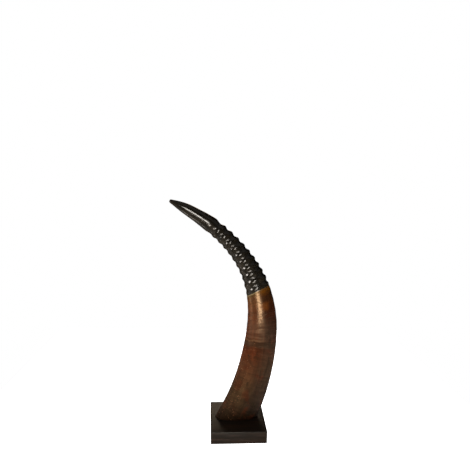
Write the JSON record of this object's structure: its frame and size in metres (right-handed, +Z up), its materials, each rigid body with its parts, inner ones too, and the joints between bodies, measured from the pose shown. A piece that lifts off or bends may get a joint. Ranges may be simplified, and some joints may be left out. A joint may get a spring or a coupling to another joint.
{
  "type": "mounted impala horn",
  "caption": "Curved ringed antelope horn, polished, black at the tip and brown below, standing on a small square dark wood plinth.",
  "frame": {"origin": "centre of the plinth's flat underside, on the surface it stands on", "axes": "+Z up towards the horn's tip; the horn leans to +X at its foot and curls to -X at its tip; -Y is the front"},
  "size_m": [0.2013, 0.1, 0.4264],
  "materials": {
    "horn_keratin": "polished keratin, near black with rings towards the tip, smooth brown below",
    "ebonised_wood": "black-brown stained wood, satin polish",
    "screw_steel": "plain zinc-plated steel"
  },
  "bodies": {
    "root": {"horn": "horn_keratin", "plinth": "ebonised_wood", "screw_left": "screw_steel", "screw_right": "screw_steel"}
  },
  "joints": []
}
